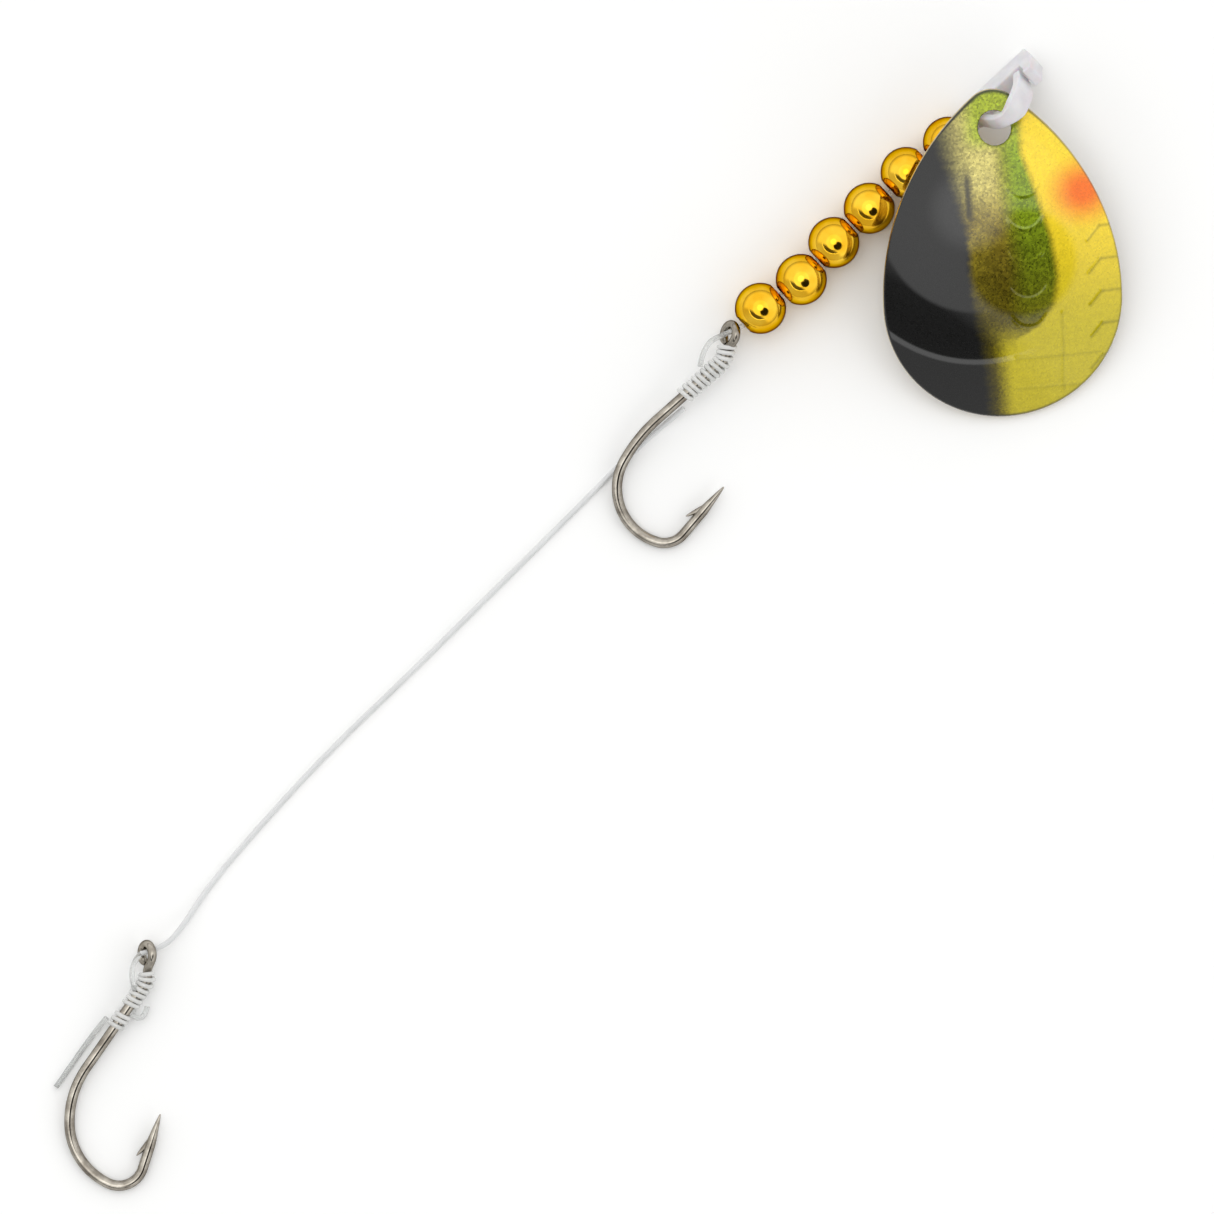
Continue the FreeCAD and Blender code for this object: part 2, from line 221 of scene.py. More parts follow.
def spread(tree, value, low, high, start=0.35, end=0.65):
    """A number that runs from low to high as the value runs from start to end."""
    return add(tree, "ShaderNodeMapRange", {"Value": value, "From Min": start, "From Max": end,
                                            "To Min": low, "To Max": high}).outputs["Result"]


def blended(tree, factor, first, second, mode="MIX"):
    """Two colours mixed by a factor."""
    return add(tree, "ShaderNodeMix", {"Factor": factor, 6: first, 7: second},
               data_type="RGBA", blend_type=mode).outputs[2]


def relief(tree, height, depth, strength=1.0):
    """Surface normals from a height between 0 and 1 and its depth in mm."""
    return add(tree, "ShaderNodeBump", {"Height": height, "Distance": depth * MM, "Strength": strength})


def tumbled_gold_plate():
    """Gold flash over tumbled brass: a warm mirror with the peel of tumbling; its dark edge tint is painted
    shade at the bead's rim.
    """
    material, tree, shader = finish_of("tumbled_gold_plate", Metallic=1.0, Specular_Tint=paint("#2A1404"))
    tone = grain(tree, 1.6, Detail=2.0)
    colour = blended(tree, spread(tree, tone, 0, 1), paint("#E6AE22"), paint("#F3C43A"))
    tree.links.new(colour, shader.inputs["Base Color"])
    tree.links.new(spread(tree, grain(tree, 0.5, Detail=4.0), 0.05, 0.13), shader.inputs["Roughness"])
    peel = relief(tree, grain(tree, 0.35, Detail=2.0), 0.004, 0.5)
    tree.links.new(peel.outputs["Normal"], shader.inputs["Normal"])
    return material


def black_nickel():
    """Black nickel on drawn carbon steel: a greyed bronze mirror, mottled, with draw lines; its dark edge
    tint is painted shade at the wire's edges.
    """
    material, tree, shader = finish_of("black_nickel", Metallic=1.0, Specular_Tint=paint("#4A443C"))
    mottle = grain(tree, 1.1, Detail=5.0, Roughness=0.6)
    colour = blended(tree, spread(tree, mottle, 0, 1), paint("#837C72"), paint("#B3ADA2"))
    tree.links.new(colour, shader.inputs["Base Color"])
    tree.links.new(spread(tree, grain(tree, 0.3, Detail=4.0), 0.06, 0.13), shader.inputs["Roughness"])
    drawn = relief(tree, grain(tree, 0.12, Detail=3.0), 0.004, 0.5)
    tree.links.new(drawn.outputs["Normal"], shader.inputs["Normal"])
    return material


def nylon_monofilament(name, shade, light, clearness):
    """Extruded clear nylon: nearly colourless, passes light, a soft gloss and a trace of haze along it."""
    material, tree, shader = finish_of(name, IOR=1.53, Transmission_Weight=clearness)
    haze = grain(tree, 2.5, Detail=2.0)
    tree.links.new(blended(tree, spread(tree, haze, 0, 1), paint(shade), paint(light)),
                   shader.inputs["Base Color"])
    tree.links.new(spread(tree, grain(tree, 1.0, Detail=2.0), 0.14, 0.24), shader.inputs["Roughness"])
    return material


def moulded_nylon():
    """Injection-moulded natural nylon: milky, lets light through, satin with a fine tool texture."""
    material, tree, shader = finish_of("moulded_nylon", IOR=1.53, Transmission_Weight=0.25,
                                       Subsurface_Weight=0.35, Subsurface_Scale=0.6 * MM)
    cloud = grain(tree, 1.4, Detail=3.0)
    tree.links.new(blended(tree, spread(tree, cloud, 0, 1), paint("#E2E0E4"), paint("#EDECEF")),
                   shader.inputs["Base Color"])
    tree.links.new(spread(tree, grain(tree, 0.25, Detail=3.0), 0.28, 0.42), shader.inputs["Roughness"])
    satin = relief(tree, grain(tree, 0.15, Detail=3.0), 0.006, 0.4)
    tree.links.new(satin.outputs["Normal"], shader.inputs["Normal"])
    return material


def plated_brass():
    """Nickel-washed stamped brass: a pale warm mirror with fine polishing lines and duller patches."""
    material, tree, shader = finish_of("plated_brass", Metallic=1.0)
    patches = grain(tree, 3.0, Detail=4.0)
    colour = blended(tree, spread(tree, patches, 0, 1), paint("#B79E5E"), paint("#D6C48C"))
    tree.links.new(colour, shader.inputs["Base Color"])
    tree.links.new(spread(tree, grain(tree, 0.8, Detail=5.0), 0.12, 0.26), shader.inputs["Roughness"])
    where = add(tree, "ShaderNodeTexCoord")
    drawn_out = add(tree, "ShaderNodeMapping", {"Vector": where.outputs["Object"], "Scale": (1, 12, 1)})
    lines = add(tree, "ShaderNodeTexNoise", {"Vector": drawn_out.outputs["Vector"], "Scale": 1 / (1.2 * MM)})
    polish = relief(tree, lines.outputs["Fac"], 0.004, 0.5)
    tree.links.new(polish.outputs["Normal"], shader.inputs["Normal"])
    return material


FLAKE = 0.16  # mm, foil flakes drawn a little coarse so that they show


def candy_over_flake():
    """Airbrushed candy lacquers over metal-flake foil under clear coat: olive and cream flake with painted
    glints, an olive-green bar, yellow and orange fades, painted shade along the stamped lines and a black
    side, all under one deep gloss."""
    material, tree, shader = finish_of("candy_over_flake", Coat_Weight=1.0, Coat_Roughness=0.03,
                                       Coat_IOR=1.44, Specular_IOR_Level=0.1)
    bands = add(tree, "ShaderNodeVertexColor", layer_name="paint_bands")
    bands = add(tree, "ShaderNodeSeparateColor", {"Color": bands.outputs["Color"]})
    black, green, yellow = (bands.outputs[c] for c in ("Red", "Green", "Blue"))
    fades = add(tree, "ShaderNodeVertexColor", layer_name="paint_fades")
    fades = add(tree, "ShaderNodeSeparateColor", {"Color": fades.outputs["Color"]})
    orange, cream, low = (fades.outputs[c] for c in ("Red", "Green", "Blue"))
    marks = add(tree, "ShaderNodeVertexColor", layer_name="paint_marks")
    marks = add(tree, "ShaderNodeSeparateColor", {"Color": marks.outputs["Color"]})
    crown, stamped_line_shade = marks.outputs["Red"], marks.outputs["Green"]
    where = add(tree, "ShaderNodeTexCoord")
    flakes = add(tree, "ShaderNodeTexVoronoi",
                 {"Vector": where.outputs["Object"], "Scale": 1 / (FLAKE * MM)})
    flake = add(tree, "ShaderNodeSeparateColor", {"Color": flakes.outputs["Color"]})
    cloud = grain(tree, 1.5, Detail=4.0)

    foil = blended(tree, spread(tree, cloud, 0, 1), paint("#6E5F1A"), paint("#8A7A26"))
    foil = blended(tree, low, foil, paint("#5E5408"))
    foil = blended(tree, cream, foil, paint("#B7AC62"))
    bar = blended(tree, low, paint("#7C921A"), paint("#7A7A16"))
    colour = blended(tree, green, foil, bar)
    sun = blended(tree, low, paint("#EFD02A"), paint("#C2B31C"))
    colour = blended(tree, yellow, colour, sun)
    colour = blended(tree, crown, colour, paint("#98A628"))
    colour = blended(tree, orange, colour, paint("#EE6E14"))
    # painted shade: the paint darkened along the raised stamped lines
    colour = blended(tree, spread(tree, stamped_line_shade, 0, 0.45, 0.0, 1.0), colour, paint("#5A5A10"))
    # partly the flakes' own tone, partly painted glint: each flake's colour is scaled from 0.6 to 1.25, as
    # though some flakes caught the light
    flake_tone_and_glint_level = spread(tree, flake.outputs["Red"], 0.6, 1.25, 0.0, 1.0)
    flake_tone_and_glint = add(tree, "ShaderNodeCombineColor", {"Red": flake_tone_and_glint_level, "Green": flake_tone_and_glint_level, "Blue": flake_tone_and_glint_level})
    open_foil = add(tree, "ShaderNodeMath", {0: 1.0, 1: yellow}, operation="SUBTRACT").outputs[0]
    open_foil = spread(tree, open_foil, 0.25, 1.0, 0.0, 1.0)
    colour = blended(tree, open_foil, colour, blended(tree, 1.0, colour, flake_tone_and_glint.outputs[0], "MULTIPLY"))
    colour = blended(tree, black, colour, paint("#0B0B0A"))
    tree.links.new(colour, shader.inputs["Base Color"])

    shown = add(tree, "ShaderNodeMath", {0: open_foil, 1: black}, operation="SUBTRACT", use_clamp=True)
    tree.links.new(spread(tree, shown.outputs[0], 0.0, 0.75, 0.0, 1.0), shader.inputs["Metallic"])
    tree.links.new(spread(tree, flake.outputs["Green"], 0.22, 0.42, 0.0, 1.0), shader.inputs["Roughness"])
    tilt = relief(tree, flake.outputs["Blue"], 0.02, 0.35)
    tree.links.new(tilt.outputs["Normal"], shader.inputs["Normal"])
    return material


def table_board():
    """Matt white laminate: even and pale."""
    material, tree, shader = finish_of("table_board", Roughness=0.9)
    shade = grain(tree, 60.0, Detail=2.0)
    tree.links.new(blended(tree, spread(tree, shade, 0, 1), paint("#F3F3F2"), paint("#F7F7F6")),
                   shader.inputs["Base Color"])
    return material


gold = tumbled_gold_plate()
nickel = black_nickel()
trace_nylon = nylon_monofilament("trace_nylon", "#DCDDDD", "#E4E5E5", 0.15)
snell_nylon = nylon_monofilament("snell_nylon", "#E4E5E3", "#EEEFEE", 0.75)
wrap_nylon = nylon_monofilament("wrap_nylon", "#E0E1DE", "#F0F0EE", 0.3)
clevis_nylon = moulded_nylon()
brass = plated_brass()
candy = candy_over_flake()

# ---------------------------------------------------------------- mesh tools


def mesh_piece(name, points, faces):
    """A piece from points in mm and its faces, shaded smooth except at sharp corners."""
    mesh = bpy.data.meshes.new(name)
    mesh.from_pydata((np.asarray(points, float) * MM).tolist(), [], faces)
    tidy = bmesh.new()
    tidy.from_mesh(mesh)
    bmesh.ops.recalc_face_normals(tidy, faces=tidy.faces)
    tidy.to_mesh(mesh)
    tidy.free()
    mesh.shade_smooth()
    mesh.set_sharp_from_angle(angle=math.radians(40))
    piece = bpy.data.objects.new(name, mesh)
    bpy.context.scene.collection.objects.link(piece)
    return piece


def skin(rows, closed=False, first=0):
    """Faces between rings of points. closed joins the last ring to the first, and open ends are capped."""
    count, around = rows.shape[:2]
    faces = []
    for i in range(count if closed else count - 1):
        here = first + i * around
        there = first + (i + 1) % count * around
        for j in range(around):
            k = (j + 1) % around
            faces.append((here + j, here + k, there + k, there + j))
    if not closed:
        faces.append(tuple(first + j for j in range(around))[::-1])
        faces.append(tuple(first + (count - 1) * around + j for j in range(around)))
    return faces


def round_section(radius, sides=20, flat=1.0):
    """Ring of points (side, up) in mm, flattened by a factor."""
    turn = np.linspace(0, 2 * math.pi, sides, endpoint=False)
    return np.c_[radius / flat ** 0.5 * np.cos(turn), radius * flat ** 0.5 * np.sin(turn)]


def sweep(path, sections, up):
    """Rings of points in mm: each section set square to the path, its second axis kept near up."""
    path = np.asarray([tuple(p) for p in path], float)
    ways = np.gradient(path, axis=0)
    ways /= np.linalg.norm(ways, axis=1)[:, None]
    rise = np.array(up, float)
    rings = []
    for place, way, section in zip(path, ways, sections):
        rise = rise - way * (rise @ way)
        rise /= np.linalg.norm(rise)
        side = np.cross(rise, way)
        rings.append(place + section[:, :1] * side + section[:, 1:] * rise)
    return np.array(rings)


def wear(piece, material, body, slot, *nodes):
    """Gives a piece its material and body, and the CAD nodes it stands for; its finish, the slot, is not
    used.
    """
    piece.data.materials.append(material)
    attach(piece, body)
    if nodes:
        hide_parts(*nodes)


trace.data.materials.append(trace_nylon)

# ---------------------------------------------------------------- beads

BEAD_RADIUS = 2.05
BEAD_FACE = 0.85
BORE = 0.5
LIP = 0.14  # rounding where the face rolls into the bore


def bead_rings(sides=64):
    """Rings of a turned bead about X: round outside, small faces, rolled edges and the bore."""
    face_at = math.sqrt(BEAD_RADIUS ** 2 - BEAD_FACE ** 2)
    edge = math.asin(BEAD_FACE / BEAD_RADIUS)
    profile = [(BEAD_RADIUS * math.cos(a), BEAD_RADIUS * math.sin(a))
               for a in np.linspace(edge, math.pi - edge, 44)]
    profile += [(-face_at + LIP * (1 - math.cos(a)), BORE + LIP * (1 - math.sin(a)))
                for a in np.linspace(0, math.pi / 2, 6)]
    profile += [(face_at - LIP * (1 - math.sin(a)), BORE + LIP * (1 - math.cos(a)))
                for a in np.linspace(0, math.pi / 2, 6)]
    turn = np.linspace(0, 2 * math.pi, sides, endpoint=False)
    return np.array([[(x, r * math.cos(t), r * math.sin(t)) for t in turn] for x, r in profile])


for number in range(1, 7):
    node = "bead_%d" % number
    low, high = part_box(node)
    rings = bead_rings() + np.array((low + high) / 2 / MM)
    bead = mesh_piece("turned_" + node, rings.reshape(-1, 3), skin(rings, closed=True))
    wear(bead, gold, node, "bead_gold", node)

# ---------------------------------------------------------------- blade

BLADE_LENGTH = 26.4
TAIL = 9.6  # radii of the outline's arcs
TIP = 2.6
SIDE = 20.0
CUP = 26.0  # radius of the cupped face
APEX = 14.0  # the top of the cup, from the tip
METAL = 0.5
COAT = 0.12
MARGIN = 0.03  # bare rim left round the lacquer
COAT_STEPS = 560  # points round the lacquer's outline, close enough for the stamped lines
HOLE = 1.35
HOLE_AT = 2.9
BLADE_HEADING = -130
TILT = 11.3
TILT_HEADING = -111.5
BLADE_TIP = (5.22, 0.25)
BLADE_RISE = 5.66


def blade_frame():
    """Matrix, in mm, of the blade: X from tip to tail, Z out of its painted face."""
    tilt = math.radians(TILT)
    normal = heading(TILT_HEADING) * math.sin(tilt) + Vector((0, 0, math.cos(tilt)))
    along = heading(BLADE_HEADING)
    along.z = -normal.dot(along) / normal.z
    along.normalize()
    turn = Matrix((along, normal.cross(along), normal)).transposed()
    sag = math.sqrt(CUP ** 2 - (APEX - HOLE_AT) ** 2) - CUP
    place = rig(*BLADE_TIP, BLADE_RISE) + heading(BLADE_HEADING) * HOLE_AT
    return Matrix.Translation(place - turn @ Vector((HOLE_AT, 0, sag))) @ turn.to_4x4()


def teardrop(margin, count):
    """Points round the outline less a margin: tail arc, side arc, tip arc, side arc."""
    gap = BLADE_LENGTH - TAIL - TIP
    back = (gap ** 2 + (SIDE - TAIL) ** 2 - (SIDE - TIP) ** 2) / (2 * gap)
    drop = math.sqrt((SIDE - TAIL) ** 2 - back ** 2)
    tail_x = BLADE_LENGTH - TAIL
    tail_turn = math.atan2(drop, back)
    tip_turn = math.atan2(drop, back - gap)
    arcs = [((tail_x, 0), TAIL, -tail_turn, tail_turn),
            ((tail_x - back, -drop), SIDE, tail_turn, tip_turn),
            ((TIP, 0), TIP, tip_turn, 2 * math.pi - tip_turn),
            ((tail_x - back, drop), SIDE, -tip_turn, -tail_turn)]
    lengths = [(radius - margin) * (end - start) for _, radius, start, end in arcs]
    points = []
    for (centre, radius, start, end), length in zip(arcs, lengths):
        turns = np.linspace(start, end, max(6, round(count * length / sum(lengths))), endpoint=False)
        points += [(centre[0] + (radius - margin) * math.cos(t), centre[1] + (radius - margin) * math.sin(t))
                   for t in turns]
    return np.array(points)


def on_cup(spots, depth):
    """Points (x, y) of the blade lifted to its cupped face, or to a depth under it."""
    x, y = spots[..., 0], spots[..., 1]
    z = np.sqrt((CUP - depth) ** 2 - (x - APEX) ** 2 - y ** 2) - CUP
    return np.stack([x, y, z], -1)


def sheet_rings(rim, hole, top, bottom, edge, across, lift=None):
    """Rings from the hanging hole out over the face, round the rim, back under and round the hole's edge."""
    centre = np.array((HOLE_AT, 0.0))
    out = rim - centre
    reach = np.linalg.norm(out, axis=1)[:, None]
    out = out / reach
    rings = []
    half = (bottom - top) / 2
    for share in np.linspace(0, 1, across):
        spots = centre + out * (hole + edge + share * (reach - hole - 2 * edge))
        ring = on_cup(spots, top)
        if lift is not None:
            ring[:, 2] += lift(spots)
        rings.append(ring)
    for turn in np.linspace(0, math.pi, 8)[1:-1]:
        spots = centre + out * (reach - edge + edge * math.sin(turn))
        rings.append(on_cup(spots, top + half * (1 - math.cos(turn))))
    for share in np.linspace(1, 0, max(12, across // 3)):
        rings.append(on_cup(centre + out * (hole + edge + share * (reach - hole - 2 * edge)), bottom))
    for turn in np.linspace(math.pi, 0, 8)[1:-1]:
        spots = centre + out * (hole + edge - edge * math.sin(turn))
        rings.append(on_cup(spots, top + half * (1 - math.cos(turn))))
    return np.array(rings)


def placed(matrix, points):
    """Points in mm moved by a matrix."""
    turn = np.array(matrix.to_3x3())
    return points @ turn.T + np.array(matrix.translation)


def ease(value):
    """0 to 1 with a soft start and end."""
    value = np.clip(value, 0, 1)
    return value * value * (3 - 2 * value)


SCALE_PITCH = 2.65  # mm between stamped scales
SCALE_RISE = 0.07
SCALE_LINE = 0.11  # half width of a stamped line


def stroke(spots, start, end):
    """1 on a straight stamped line, falling to 0 beside it."""
    start, end = np.array(start), np.array(end)
    way = end - start
    share = np.clip(((spots - start) @ way) / (way @ way), 0, 1)
    away = np.linalg.norm(spots - start - share[:, None] * way, axis=1)
    return np.exp(-(away / SCALE_LINE) ** 2)


def scale_arc(spots, along, across, radius):
    """1 on the front of a round scale, falling to 0 beside it."""
    x, y = spots[:, 0] - along, spots[:, 1] - across
    return np.exp(-((np.hypot(x, y) - radius) / SCALE_LINE) ** 2) * ease((x - 0.35) / 0.6)


def embossing(spots):
    """Stamped scales: half-hexagons down the outer side, faint round ones in the middle, three creases."""
    height = np.zeros(len(spots))
    for row in range(-1, 5):
        along = 13.7 + SCALE_PITCH * row
        height += stroke(spots, (along, 7.9), (along, 10.0))
        height += stroke(spots, (along, 7.9), (along + 1.1, 6.9))
    for row in range(-2, 3):
        height += 0.5 * scale_arc(spots, 12.0 + SCALE_PITCH * row, 1.9, 1.5)
    for along in (21.4, 24.0):
        height += 0.45 * stroke(spots, (along, 0.8), (along, 7.6))
    height += 0.45 * stroke(spots, (17.8, 4.6), (24.4, 4.6))
    return SCALE_RISE * np.minimum(height, 1)


turned_blade = blade_frame()
metal_rings = placed(turned_blade, sheet_rings(teardrop(0, 300), HOLE, 0, METAL, 0.2, 50))
blade = mesh_piece("stamped_blade", metal_rings.reshape(-1, 3), skin(metal_rings, closed=True))
wear(blade, brass, "blade", "blade_metal", "blade")

coat_local = sheet_rings(teardrop(MARGIN, COAT_STEPS), HOLE - MARGIN, SCALE_RISE - COAT, METAL * 0.6,
                         0.14, 170, embossing)
coat_rings = placed(turned_blade, coat_local)
coat = mesh_piece("blade_paint", coat_rings.reshape(-1, 3), skin(coat_rings, closed=True))


def course(x, *stops):
    """A border's y at each x, through stops (x, y)."""
    return np.interp(x, [s[0] for s in stops], [s[1] for s in stops])


def airbrush(mesh, spots):
    """Masks of the paint, as three colour layers of the mesh: black side, green bar and yellow side; orange
    spot, cream by the hole and the darker low end; crown round the hole and painted shade along the stamped
    lines."""
    x, y = spots[:, 0], spots[:, 1]
    rim = teardrop(MARGIN, COAT_STEPS) - (HOLE_AT, 0)
    turns = np.arctan2(rim[:, 1], rim[:, 0])
    order = np.argsort(turns)
    reach = np.interp(np.arctan2(y, x - HOLE_AT), turns[order], np.linalg.norm(rim, axis=1)[order],
                      period=2 * math.pi)
    inside = reach - np.hypot(x - HOLE_AT, y)
    rough = 0.12 * np.sin(5.1 * x + 1.3 * np.sin(2.3 * x)) + 0.08 * np.sin(11.7 * x + 0.6)
    side = course(x, (0.0, -4.4), (3.0, -3.6), (6.1, -3.1), (9.8, -2.75), (15.3, -2.6), (17.2, -2.2),
                  (20.0, -1.5), (22.7, -1.2), (26.0, -1.0))
    softness = course(x, (4.0, 3.6), (8.0, 2.2), (12.0, 0.6), (16.0, 0.9), (19.0, 1.8), (24.0, 1.6))
    black = ease(0.5 + (side + rough * 0.6 - y) / softness)
    finger = np.exp(-((y + 2.55) / 0.38) ** 2) * ease((x - 5.6) / 1.2) * ease((10.6 - x) / 1.2)
    black = np.maximum(black, 0.85 * finger)
    line = ease((0.32 - inside) / 0.22)
    black = np.maximum(black, line * course(y, (-4.0, 1.0), (2.0, 0.75), (7.0, 0.55)))
    right = course(x, (0.0, 2.4), (3.0, 1.9), (5.0, 2.0), (7.9, 2.9), (11.6, 3.9), (14.75, 4.3), (17.1, 3.9),
                   (18.9, 2.4), (19.8, 0.5))
    left = course(x, (0.0, 0.6), (4.0, 0.4), (8.0, 0.5), (14.0, 1.2), (18.8, 0.8))
    green = ease(0.5 + (y - left) / 2.2) * ease(0.5 + (right - y) / 0.9) * ease((20.5 - x) / 5.0)
    yellow = ease(0.5 + (y - right) / 0.9)
    foot = ease((x - 18.0) / 3.0) * ease(0.5 + (y - side - 1.0) / 1.8)
    yellow = np.maximum(yellow, foot)
    orange = ease(1.15 - np.hypot(x - 8.2, (y - 6.7) * 0.9) / 2.9)
    cream = ease((10.5 - x) / 5.0) * ease((0.9 - y) / 1.6)
    low = ease((x - 9.0) / 11.0)
    crown = ease((4.9 - x) / 1.6) * ease((y + 3.2) / 2.0) * ease((2.6 - y) / 1.6)
    # painted shade along the stamped lines, taken from the relief's own height
    stamped_line_shade = embossing(spots[:, :2]) / SCALE_RISE
    none = np.zeros(len(x))
    for name, layers in (("paint_bands", (black, green, yellow)), ("paint_fades", (orange, cream, low)),
                         ("paint_marks", (crown, stamped_line_shade, none))):
        attribute = mesh.color_attributes.new(name, "FLOAT_COLOR", "POINT")
        values = np.stack([*layers, np.ones(len(x))], -1).astype(np.float32)
        attribute.data.foreach_set("color", values.ravel())


airbrush(coat.data, coat_local.reshape(-1, 3))
wear(coat, candy, "blade", "blade_coat", "blade_finish")

# ---------------------------------------------------------------- clevis

CLEVIS_START = 2.14
CLEVIS_ROLL = 25
STEM = 7.5
STEM_WIDTH = 1.7
STEM_HALF = 0.9
GUIDE_BORE = 0.275  # radii of the bores
LEADER_BORE = 0.45
BORE_LENGTH = 3.2
KNUCKLE = (0.95, 1.42)
KNUCKLE_RADIUS = 0.45
KNUCKLE_GAP = 0.08
STRAP_THICKNESS = 0.65
STRAP_WIDTHS = (1.2, 1.2, 1.9, 2.0, 1.7)  # narrow in the blade's hole, broad over the bend and at the catch
STRAP_SHARES = (0, 0.5, 0.68, 0.9, 1)  # where along the strap it has those widths

clevis_frame = Matrix.Translation(rig(CLEVIS_START, 0, LINE_HEIGHT)) @ Matrix.Rotation(
    math.radians(CLEVIS_ROLL), 4, "X")


def moulding(name, outline, width, rounding, frame_matrix):
    """A flat moulding of one width with rounded edges, from its outline (along, out)."""
    shape = bmesh.new()
    near = [shape.verts.new((x, -width / 2, z)) for x, z in outline]
    far = [shape.verts.new((x, width / 2, z)) for x, z in outline]
    shape.faces.new(near)
    shape.faces.new(far[::-1])
    for i in range(len(outline)):
        k = (i + 1) % len(outline)
        shape.faces.new((near[i], far[i], far[k], near[k]))
    bmesh.ops.recalc_face_normals(shape, faces=shape.faces)
    bmesh.ops.bevel(shape, geom=shape.edges[:], offset=rounding, segments=3, profile=0.5, affect="EDGES",
                    clamp_overlap=True)
    shape.transform(Matrix.Scale(MM, 4) @ frame_matrix)
    mesh = bpy.data.meshes.new(name)
    shape.to_mesh(mesh)
    shape.free()
    mesh.shade_smooth()
    mesh.set_sharp_from_angle(angle=math.radians(50))
    piece = bpy.data.objects.new(name, mesh)
    bpy.context.scene.collection.objects.link(piece)
    return piece


def rod(frame_matrix, start, way, radius, sides=40):
    """A cutter: round bar from start along a level way, both given in a part's own frame, in mm."""
    path = [Vector(start), Vector(start) + Vector(way)]
    rings = placed(frame_matrix, sweep(path, [round_section(radius, sides)] * 2, (0, 0, 1)))
    return mesh_piece("cutter", rings.reshape(-1, 3), skin(rings))


def cut(piece, cutter):
    """Takes the cutter out of the piece and throws the cutter away."""
    step = piece.modifiers.new("cut", "BOOLEAN")
    step.operation = "DIFFERENCE"
    step.solver = "EXACT"
    step.object = cutter
    bpy.context.view_layer.objects.active = piece
    with bpy.context.temp_override(object=piece):
        bpy.ops.object.modifier_apply(modifier=step.name)
    bpy.data.objects.remove(cutter)


body = moulding("clevis_moulding", [
    (0, -STEM_HALF), (STEM, -STEM_HALF), (STEM, 0.75), (6.72, 2.45), (5.95, 2.40), (5.95, 2.08),
    (6.15, 1.90), (6.15, STEM_HALF), (2.0, STEM_HALF), (1.75, 1.15), (0.15, 1.15), (0, STEM_HALF)],
    STEM_WIDTH, 0.14, clevis_frame)
cut(body, rod(clevis_frame, (KNUCKLE[0], -2, KNUCKLE[1]), (0, 4, 0), KNUCKLE_RADIUS + KNUCKLE_GAP))
cut(body, rod(clevis_frame, (-1, 0, 0), (STEM, 0, 0), GUIDE_BORE))
cut(body, rod(clevis_frame, (STEM - BORE_LENGTH, 0, 0), (BORE_LENGTH + 1, 0, 0), LEADER_BORE))
wear(body, clevis_nylon, "clevis", "clevis_plastic", "clevis_body")


def smooth_path(stops, per_span=9):
    """Points along a smooth curve through the stops."""
    stops = [Vector(s) for s in stops]
    ends = [stops[0] * 2 - stops[1], *stops, stops[-1] * 2 - stops[-2]]
    points = []
    for a, b, c, d in zip(ends, ends[1:], ends[2:], ends[3:]):
        for t in np.linspace(0, 1, per_span, endpoint=False):
            points.append(0.5 * (2 * b + (c - a) * t + (2 * a - 5 * b + 4 * c - d) * t * t
                                 + (3 * b - a - 3 * c + d) * t ** 3))
    return points + [stops[-1]]


def strap_section(width, thickness, rounding=0.16):
    """Rounded rectangle (across, thick)."""
    points = []
    for quarter, (side, up) in enumerate(((1, 1), (-1, 1), (-1, -1), (1, -1))):
        for turn in np.linspace(0, 90, 5):
            angle = math.radians(quarter * 90 + turn)
            points.append((side * (width / 2 - rounding) + rounding * math.cos(angle),
                           up * (thickness / 2 - rounding) + rounding * math.sin(angle)))
    return np.array(points)


strap_path = smooth_path([(x, 0, z) for x, z in (
    KNUCKLE, (1.22, 2.55), (1.50, 3.65), (2.00, 4.55), (2.80, 4.85), (3.78, 4.42), (4.95, 3.10),
    (5.58, 1.46))])
widths = np.interp(np.linspace(0, 1, len(strap_path)), STRAP_SHARES, STRAP_WIDTHS)
sections = [strap_section(width, STRAP_THICKNESS) for width in widths]
strap_rings = placed(clevis_frame, sweep(strap_path, sections, (-1, 0, 0)))
pin_path = [(KNUCKLE[0], y, KNUCKLE[1]) for y in (-0.6, -0.55, 0.55, 0.6)]
pin_sections = [round_section(KNUCKLE_RADIUS - r, 28) for r in (0.06, 0, 0, 0.06)]
pin_rings = placed(clevis_frame, sweep(pin_path, pin_sections, (0, 0, 1)))
strap = mesh_piece("clevis_strap", np.concatenate([strap_rings.reshape(-1, 3), pin_rings.reshape(-1, 3)]),
                   skin(strap_rings) + skin(pin_rings, first=strap_rings.shape[0] * strap_rings.shape[1]))
wear(strap, clevis_nylon, "clevis_arm", "clevis_plastic", "clevis_arm")

# ---------------------------------------------------------------- hooks

BRIDGE = 0.8  # wire from the ring back to the neck
BARB = 2.0
BARB_LEAN = 26
BARB_AHEAD = 0.45  # the barb rises this far nearer to the point than the end of the spear
BARB_ROOT = 0.27  # its radius where it rises
FORGED = 0.16  # how much flatter the forged bend is
FORGED_FROM = 0.36  # shares of the wire between which it is forged
FORGED_TO = 0.82


def forging(share):
    """How round the wire is at a share of its length: 1, or less where the bend is forged."""
    if not FORGED_FROM < share < FORGED_TO:
        return 1.0
    return 1 - FORGED * max(0, math.sin(math.pi * (share - FORGED_FROM) / (FORGED_TO - FORGED_FROM)))


